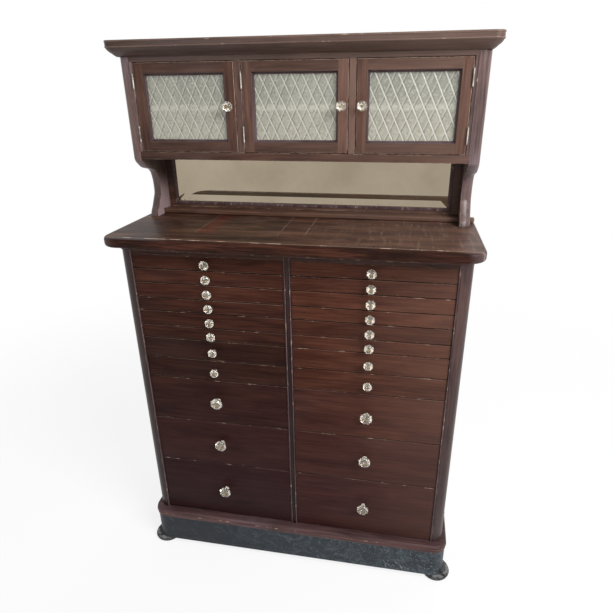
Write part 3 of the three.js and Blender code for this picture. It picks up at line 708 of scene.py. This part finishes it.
def add_mitred(shape, outline, centre, half_width, half_height, front):
    """Adds a moulding mitred round an opening, from pairs of inward and backward steps."""
    x, z = centre
    rings = []
    for sx, sz in ((-1, -1), (1, -1), (1, 1), (-1, 1)):
        rings.append([shape.verts.new((x + sx * (half_width - u), front + v, z + sz * (half_height - u)))
                      for u, v in outline])
    for this, following in zip(rings, rings[1:] + rings[:1]):
        join_rings(shape, following, this)


def add_turning(shape, profile, centre, sides, turn=0.0, material=0):
    """Adds a closed turning about the Y axis, from pairs of radius and distance to the front."""
    angles = [turn + math.tau * i / sides for i in range(sides)]
    rings = []
    for radius, out in profile:
        y = centre.y - out
        if radius == 0:
            rings.append([shape.verts.new((centre.x, y, centre.z))])
            continue
        rings.append([shape.verts.new((centre.x + radius * math.cos(a), y, centre.z + radius * math.sin(a)))
                      for a in angles])
    for lower, upper in zip(rings, rings[1:]):
        for i in range(sides):
            j = (i + 1) % sides
            corners = [lower[i % len(lower)], lower[j % len(lower)],
                       upper[j % len(upper)], upper[i % len(upper)]]
            face = shape.faces.new(list(dict.fromkeys(corners)))
            face.material_index = material


# Facets of a glass knob, its collar and its screw head, as shares of its radius and length
KNOB_SHARES = ((0, 0.08), (0.4, 0.08), (0.3, 0.15), (0.3, 0.24), (0.97, 0.62), (1, 0.68),
               (0.98, 0.78), (0.7, 0.95), (0.42, 1), (0.2, 0.97), (0, 0.95))
BOLT_SHARES = ((0, -0.16), (0.16, -0.16), (0.16, -0.001), (0.44, -0.001), (0.44, 0.05), (0.4, 0.078),
               (0, 0.078))
HEAD_SHARES = ((0, 0.955), (0.22, 0.955), (0.22, 0.985), (0.14, 1.0), (0, 1.0))


def knob(name, centre, diameter, body, node):
    """Faceted glass knob with its bronze collar and gilt screw head."""
    radius = diameter / 2
    length = diameter * KNOB_LENGTH_SHARE

    def profile(shares):
        """Shares as lengths."""
        return [(radius * across, length * along) for across, along in shares]

    shape = bmesh.new()
    add_turning(shape, profile(KNOB_SHARES), centre, KNOB_SIDES, math.pi / KNOB_SIDES)
    soften(shape, list(shape.edges), KNOB_EDGE, segments=1)
    glass = piece_of(name, shape, [clear_glass], body, smooth=FACET_ANGLE)
    shape = bmesh.new()
    for material, shares in enumerate((BOLT_SHARES, HEAD_SHARES)):
        add_turning(shape, profile(shares), centre, BOLT_SIDES, material=material)
    bolt = piece_of(name + "_bolt", shape, [bronze, gilt], body)
    for piece in (glass, bolt):
        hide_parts(node)


def drawer_box(low, high, front):
    """A drawer's box behind its front, with a runner groove along each side."""
    left = low.x + SIDE_GAP - FRONT_GAP
    right = high.x - SIDE_GAP + FRONT_GAP
    start = front + FRONT_THICKNESS
    bottom = low.z - HALF_GAP + FOOT_GAP
    top = high.z + HALF_GAP - HEAD_GAP
    level = (bottom + top) / 2
    groove_low = level - GROOVE_HALF
    groove_high = level + GROOVE_HALF
    shape = bmesh.new()
    for outer, inward in ((left, 1), (right, -1)):
        deep = outer + inward * GROOVE_DEPTH
        inner = outer + inward * WALL
        outline = ((outer, bottom), (inner, bottom), (inner, top), (outer, top), (outer, groove_high),
                   (deep, groove_high), (deep, groove_low), (outer, groove_low))
        add_prism(shape, outline, front + GROOVE_START, high.y, lambda x, z, y: (x, y, z))
        add_box(shape, (min(outer, inner), start, bottom), (max(outer, inner), front + GROOVE_START, top))
    add_box(shape, (left + WALL, high.y - END_WALL, bottom), (right - WALL, high.y, top))
    add_box(shape, (left + WALL, start, bottom), (right - WALL, high.y - END_WALL, bottom + FLOOR))
    return shape


def drawer(hand, row, surface, edge):
    """One drawer: its front, its box and its knob, in place of the CAD drawer."""
    node = f"drawer_{hand}_{row}"
    body = f"{hand}_drawer_{row}"
    low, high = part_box(node)
    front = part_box("centre_partition")[0].y + COLUMN_PROUD
    shape = bmesh.new()
    edges = add_box(shape, (low.x, front, low.z + SEAM_HALF),
                    (high.x, front + FRONT_THICKNESS, high.z - SEAM_HALF))
    facing = [e for e in edges if all(v.co.y < front + HALF_GAP for v in e.verts)]
    soften(shape, facing, EDGE, material=1, segments=EDGE_STEPS)
    face = piece_of(node + "_front", shape, [surface, edge], body)
    box = piece_of(node + "_box", drawer_box(low, high, front), [inner_wood], body)
    for piece in (face, box):
        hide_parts(node)
    rise = LARGE_KNOB_RISE if row > SHALLOW_ROWS else 0
    x, z = face_centre(low, high)
    knob(node + "_knob", Vector((x, front, z + rise)), (front - low.y) / KNOB_LENGTH_SHARE, body, node)


# Each bank of drawers: first seed, richness of tone (lower on the left bank, partly painted shade), the
# painted shade each row down adds, and how far it is paler to the right by painted light
DRAWER_DARK = (tone(21, 9, 9), tone(74, 37, 27))
DRAWER_LIGHT = (tone(47, 27, 22), tone(130, 78, 57))
DRAWER_BANKS = (("left", 20, 0.22, 0.026, 0.0), ("right", 32, 0.36, 0.016, 0.15))
RICHNESS_SPREAD = 0.16
RIGHT_LIGHT_START = 0.05
DUST = tone(116, 74, 82)
DUST_PER_ROW = 0.045
DUST_IN_DARK = 0.6
EDGE_SEED = 50
chance = random.Random(11)
for hand, first_seed, richness, shade_per_row, right_light in DRAWER_BANKS:
    for row in range(1, DRAWER_ROWS + 1):
        # Painted shade: each row down a little darker
        share = max(0.0, richness + RICHNESS_SPREAD * chance.random() - shade_per_row * row)
        dusty = max(0, row - SHALLOW_ROWS) * DUST_PER_ROW
        dark = blend(blend(*DRAWER_DARK, share), DUST, DUST_IN_DARK * dusty)
        light = blend(blend(*DRAWER_LIGHT, share), DUST, dusty)
        seed = first_seed + row
        surface = wood(f"drawer_wood_{hand}_{row}", dark, light, "x", seed, haze_and_sheen=0.06, gloss=0.05,
                       right_light=right_light, right_light_from=RIGHT_LIGHT_START)
        edge = wood(f"drawer_edge_{hand}_{row}", dark, blend(light, WORN, 0.3), "x", seed + EDGE_SEED,
                    worn=0.32)
        drawer(hand, row, surface, edge)


def sight_outline():
    """Moulding round a door's opening: steps inward from the sight edge, by depth."""
    start = SIGHT_LIP[-1]
    cove = []
    for i in range(1, COVE_STEPS):
        angle = math.pi / 2 * i / COVE_STEPS
        cove.append((start[0] + COVE_SIZE[0] * (1 - math.cos(angle)),
                     start[1] + COVE_SIZE[1] * math.sin(angle)))
    inner = in_metres([*SIGHT_LIP, *cove, *SIGHT_FILLET])
    return inner + [(REBATE_WALL, SIGHT_DEPTH), (REBATE_WALL, DOOR_THICKNESS), (0, DOOR_THICKNESS)]


def door(hand, stile_finish):
    """A door's stiles, rails and sight moulding, in place of the CAD door."""
    node = f"door_{hand}"
    body = f"{hand}_door"
    low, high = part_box(node)
    back = low.y + DOOR_THICKNESS
    stiles = bmesh.new()
    for left, right, outer in ((low.x, low.x + DOOR_STILE, low.x), (high.x - DOOR_STILE, high.x, high.x)):
        edges = add_box(stiles, (left, low.y, low.z), (right, back, high.z))
        kept = [e for e in edges if all(v.co.y < back - HALF_GAP for v in e.verts)
                and all(v.co.x == outer or e.calc_length() < DOOR_STILE + HALF_GAP for v in e.verts)]
        soften(stiles, kept, EDGE, material=1, segments=EDGE_STEPS)
    rails = bmesh.new()
    for under, over, outer in ((low.z, low.z + DOOR_STILE, low.z), (high.z - DOOR_STILE, high.z, high.z)):
        edges = add_box(rails, (low.x + DOOR_STILE, low.y, under), (high.x - DOOR_STILE, back, over))
        kept = [e for e in edges if all(v.co.y < back - HALF_GAP and v.co.z == outer for v in e.verts)]
        soften(rails, kept, EDGE, material=1, segments=EDGE_STEPS)
    moulding = bmesh.new()
    add_mitred(moulding, sight_outline(), face_centre(low, high), (high.x - low.x) / 2 - DOOR_STILE,
               (high.z - low.z) / 2 - DOOR_STILE, low.y)
    parts = (
        piece_of(node + "_stiles", stiles, [stile_finish, door_edge], body),
        piece_of(node + "_rails", rails, [door_rail_wood, door_edge], body),
        piece_of(node + "_moulding", moulding, [door_sight_wood], body),
    )
    for part in parts:
        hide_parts(node)


def rib(distance, half_width):
    """Height share of a rounded rib at a distance from its line."""
    if abs(distance) >= half_width:
        return 0.0
    return math.cos(math.pi / 2 * distance / half_width) ** 2


def lattice(across, up):
    """Height share of the two crossing sets of ribs, at a place measured from the pane's middle."""
    falling = math.remainder(across + up * RIB_SLOPE, RIB_WIDTH_ACROSS)
    rising = math.remainder(across - up * RIB_SLOPE, RIB_WIDTH_ACROSS)
    return max(rib(falling, RIB_HALF), RISING_SHARE * rib(rising, RIB_HALF))


def pane(hand):
    """Pressed glass with a raised diamond lattice on its front."""
    node = f"glass_{hand}"
    low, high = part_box(node)
    x, z = face_centre(low, high)
    columns = round((high.x - low.x) / PANE_STEP)
    rows = round((high.z - low.z) / PANE_STEP)
    rim = [(i, 0) for i in range(columns)] + [(columns, j) for j in range(rows)]
    rim += [(i, rows) for i in range(columns, 0, -1)] + [(0, j) for j in range(rows, 0, -1)]
    shape = bmesh.new()

    def spot(i, j, y):
        """A point of the pane's grid at a depth."""
        return (low.x + (high.x - low.x) * i / columns, y, low.z + (high.z - low.z) * j / rows)

    front = {}
    for i in range(columns + 1):
        for j in range(rows + 1):
            px, _, pz = spot(i, j, low.y)
            front[i, j] = shape.verts.new((px, low.y + RIB_LIFT * (1 - lattice(px - x, pz - z)), pz))
    rear = {place: shape.verts.new(spot(*place, high.y)) for place in rim}
    for i in range(columns):
        for j in range(rows):
            shape.faces.new((front[i, j], front[i + 1, j], front[i + 1, j + 1], front[i, j + 1]))
    for this, following in zip(rim, rim[1:] + rim[:1]):
        shape.faces.new((front[this], rear[this], rear[following], front[following]))
    shape.faces.new([rear[place] for place in rim])
    piece = piece_of(node + "_pressed", shape, [pressed[hand]], f"{hand}_door",
                     smooth=PANE_ANGLE)
    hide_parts(node)


STILE_FINISHES = {"left": door_stile_wood, "centre": centre_stile_wood, "right": door_stile_wood}
for hand in HANDS:
    door(hand, STILE_FINISHES[hand])
    pane(hand)
    low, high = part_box(f"door_knob_{hand}")
    x, z = face_centre(low, high)
    knob(f"door_knob_{hand}_glass", Vector((x, high.y, z)), (high.y - low.y) / KNOB_LENGTH_SHARE,
         f"{hand}_door", f"door_knob_{hand}")


def mirror():
    """Silvered plate, its rim turned as much as a glass bevel turns the light, and the bead round it."""
    low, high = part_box("mirror")
    shape = bmesh.new()
    rings = []
    for inset, y in ((BEVEL_WIDTH, low.y + BEVEL_TURN), (0, low.y), (0, high.y)):
        rings.append([shape.verts.new((x, y, z)) for x, z in
                      ((low.x + inset, low.z + inset), (high.x - inset, low.z + inset),
                       (high.x - inset, high.z - inset), (low.x + inset, high.z - inset))])
    for this, following in zip(rings, rings[1:]):
        join_rings(shape, this, following)
    shape.faces.new(rings[0])
    shape.faces.new(rings[2])
    plate = piece_of("mirror_plate", shape, [silvered], "case", smooth=BEVEL_ANGLE)
    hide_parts("mirror")

    shape = bmesh.new()
    add_mitred(shape, in_metres(MIRROR_BEAD), face_centre(low, high), (high.x - low.x) / 2 + BEAD_WIDTH,
               (high.z - low.z) / 2 + BEAD_WIDTH, low.y - MIRROR_LIP - BEAD_PROUD)
    piece_of("mirror_bead", shape, [bead_wood], "case")


def bead(name, x, node):
    """Half-round bead that runs up the front of a post."""
    low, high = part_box(node)
    angles = [math.pi * i / BEAD_STEPS for i in range(BEAD_STEPS + 1)]
    outline = [(POST_BEAD * math.cos(angle), POST_BEAD * math.sin(angle)) for angle in angles]
    outline += [(-POST_BEAD, -HALF_GAP), (POST_BEAD, -HALF_GAP)]
    shape = bmesh.new()
    add_prism(shape, outline, low.z, high.z, lambda u, v, z: (x + u, low.y - v, z))
    piece_of(name, shape, [bead_wood], "case")


def moulding(name, node, corner, section, level, material):
    """Thin moulding round the front and sides of a board, from a section in millimetres."""
    low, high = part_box(node)
    angles = [math.pi / 2 * i / CORNER_STEPS for i in range(CORNER_STEPS + 1)]
    line = [((low.x, high.y), (-1, 0))]
    for x, sign, turn in ((low.x + corner, -1, angles), (high.x - corner, 1, angles[::-1])):
        for angle in turn:
            side = (sign * math.cos(angle), -math.sin(angle))
            line.append(((x + corner * side[0], low.y + corner + corner * side[1]), side))
    line.append(((high.x, high.y), (1, 0)))
    section = [(out, level + rise) for out, rise in in_metres(section)]
    shape = bmesh.new()
    rings = [[shape.verts.new((x + out * nx, y + out * ny, z)) for out, z in section]
             for (x, y), (nx, ny) in line]
    for this, following in zip(rings, rings[1:]):
        join_rings(shape, this, following)
    shape.faces.new(rings[0])
    shape.faces.new(rings[-1])
    piece_of(name, shape, [material], "case")


def trim():
    """Beads and thin mouldings that the photo shows on the posts, the cornice and the base."""
    for sign, hand in ((-1, "left"), (1, "right")):
        low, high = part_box(f"{hand}_side")
        inner = min(abs(low.x), abs(high.x))
        bead(f"column_bead_{hand}", sign * (inner + COLUMN_BEAD_IN), f"{hand}_side")
        bead(f"stile_bead_{hand}", sign * (STILE_HALF - POST_BEAD), "centre_partition")
        low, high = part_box(f"door_{hand}")
        outer = max(abs(low.x), abs(high.x))
        bead(f"jamb_bead_{hand}", sign * (outer + JAMB), f"door_{hand}")
    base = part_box("case_bottom")[0].z + BASE_BEAD_RISE
    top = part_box("cornice")[1].z
    moulding("base_bead", "case_bottom", BASE_CORNER, BASE_BEAD, base, base_edge)
    moulding("cornice_fillet", "cornice", CORNICE_CORNER, CORNICE_FILLET, top - FASCIA, cornice_edge)
    moulding("cornice_cap", "cornice", CORNICE_CORNER, CORNICE_CAP, top, cornice_edge)


def hinge(hand, end):
    """Butt hinge: a knuckled barrel with ball tips, and its leaf."""
    node = f"hinge_{hand}_{end}"
    low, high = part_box(node)
    x, _ = face_centre(low, high)
    y = low.y + (high.x - low.x) / 2
    radius = BARREL_SHARE * (high.x - low.x) / 2
    length = high.z - low.z
    ball = BALL_SHARE * radius
    run = length - 4 * ball
    tip = [(0, 0), (0.6 * ball, 0.25 * ball), (ball, ball), (0.6 * ball, 1.9 * ball)]
    profile = list(tip)
    for i in range(KNUCKLES):
        start = 2 * ball + run * i / KNUCKLES
        stop = 2 * ball + run * (i + 1) / KNUCKLES
        profile += [(KNUCKLE_NECK * radius, start), (radius, start + KNUCKLE_EDGE),
                    (radius, stop - KNUCKLE_EDGE), (KNUCKLE_NECK * radius, stop)]
    profile += [(across, length - along) for across, along in reversed(tip)]
    shape = bmesh.new()
    add_turning(shape, profile, Vector((0, 0, 0)), BARREL_SIDES)
    upright = Matrix.Translation((x, y, low.z)) @ Matrix.Rotation(-math.pi / 2, 4, "X")
    bmesh.ops.transform(shape, matrix=upright, verts=shape.verts)
    edges = add_box(shape, (x - LEAF_HALF, y + LEAF_FROM * radius, low.z + 2 * ball),
                    (x + LEAF_HALF, high.y, high.z - 2 * ball))
    soften(shape, edges, LEAF_EDGE)
    piece = piece_of(node + "_knuckled", shape, [nickel], "case")
    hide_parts(node)


mirror()
trim()
for hand in HANDS:
    for end in ("upper", "lower"):
        hinge(hand, end)


def floor_paint():
    """White floor that keeps the soft shadow of the cabinet."""
    paint = Paint("floor_paint")
    paint.surface(base_color=(1, 1, 1, 1), roughness=0.9, specular_ior_level=0.1)
    seen = paint.node("LightPath", {}).outputs
    reflected = paint.sum(seen["Is Glossy Ray"], seen["Is Transmission Ray"])
    direct = paint.sum(seen["Is Camera Ray"], reflected, clamp=True)
    glow = paint.node("Emission", {"Color": (1, 1, 1, 1), "Strength": 1.0}).outputs[0]
    away = paint.node("VectorMath", {0: paint.place}, operation="LENGTH").outputs["Value"]
    share = paint.sum(paint.scaled(paint.band(away, GLOW_FROM, GLOW_TO), GLOW_GAIN), GLOW_NEAR)
    mixed = paint.node("MixShader", {0: paint.scaled(direct, share), 1: paint.shader.outputs[0], 2: glow})
    paint.put(paint.tree.nodes["Material Output"].inputs["Surface"], mixed.outputs[0])
    return paint.material


def add_floor():
    """Wide floor under the cabinet."""
    shape = bmesh.new()
    corners = ((-FLOOR_HALF, -FLOOR_HALF), (FLOOR_HALF, -FLOOR_HALF), (FLOOR_HALF, FLOOR_HALF),
               (-FLOOR_HALF, FLOOR_HALF))
    shape.faces.new([shape.verts.new((x, y, 0)) for x, y in corners])
    mesh = bpy.data.meshes.new("floor")
    shape.to_mesh(mesh)
    shape.free()
    mesh.materials.append(floor_paint())
    floor = bpy.data.objects.new("floor", mesh)
    scene.collection.objects.link(floor)


def light_world():
    """Soft light from all round, seen as white by the camera, in gloss and through glass."""
    world = bpy.data.worlds.new("studio")
    scene.world = world
    world.use_nodes = True
    tree = world.node_tree
    path = tree.nodes.new("ShaderNodeLightPath")
    seen = tree.nodes.new("ShaderNodeMath")
    direct = tree.nodes.new("ShaderNodeMath")
    seen.operation = "MAXIMUM"
    direct.operation = "MAXIMUM"
    soft = tree.nodes["Background"]
    soft.inputs["Color"].default_value = (1, 1, 1, 1)
    soft.inputs["Strength"].default_value = WORLD_LIGHT
    white = tree.nodes.new("ShaderNodeBackground")
    white.inputs["Color"].default_value = (1, 1, 1, 1)
    white.inputs["Strength"].default_value = 1.0
    mixed = tree.nodes.new("ShaderNodeMixShader")
    for source, target in (
        (path.outputs["Is Camera Ray"], seen.inputs[0]),
        (path.outputs["Is Glossy Ray"], seen.inputs[1]),
        (seen.outputs[0], direct.inputs[0]),
        (path.outputs["Is Transmission Ray"], direct.inputs[1]),
        (direct.outputs[0], mixed.inputs[0]),
        (soft.outputs[0], mixed.inputs[1]),
        (white.outputs[0], mixed.inputs[2]),
        (mixed.outputs[0], tree.nodes["World Output"].inputs["Surface"]),
    ):
        tree.links.new(source, target)


def add_lamps():
    """Square lamps that face the cabinet. Only the key shows in gloss and through glass."""
    for name, place, side, power in LAMPS:
        lamp = bpy.data.lights.new(name, "AREA")
        lamp.shape = "SQUARE"
        lamp.size = side
        lamp.energy = power
        holder = bpy.data.objects.new(name, lamp)
        holder.location = place
        holder.visible_glossy = name == "key"
        holder.visible_transmission = name == "key"
        holder.rotation_euler = (LAMP_TARGET - Vector(place)).to_track_quat("-Z", "Y").to_euler()
        scene.collection.objects.link(holder)


def add_camera():
    """Camera at the photo's place, with its lens and shift."""
    camera = bpy.data.objects.new("camera", bpy.data.cameras.new("camera"))
    camera.data.sensor_width = SENSOR
    camera.data.lens = SENSOR * FOCAL_PIXELS / PHOTO_SIDE
    camera.data.shift_x = (PHOTO_SIDE / 2 - CENTRE_PIXEL[0]) / PHOTO_SIDE
    camera.data.shift_y = (CENTRE_PIXEL[1] - PHOTO_SIDE / 2) / PHOTO_SIDE
    camera.matrix_world = (Matrix.Translation(CAMERA_PLACE) @ Matrix.Rotation(CAMERA_YAW, 4, "Z")
                           @ Matrix.Rotation(math.pi / 2 + CAMERA_PITCH, 4, "X")
                           @ Matrix.Rotation(CAMERA_ROLL, 4, "Z"))
    scene.collection.objects.link(camera)
    scene.camera = camera


add_floor()
light_world()
add_lamps()
add_camera()
scene.view_settings.view_transform = "Standard"
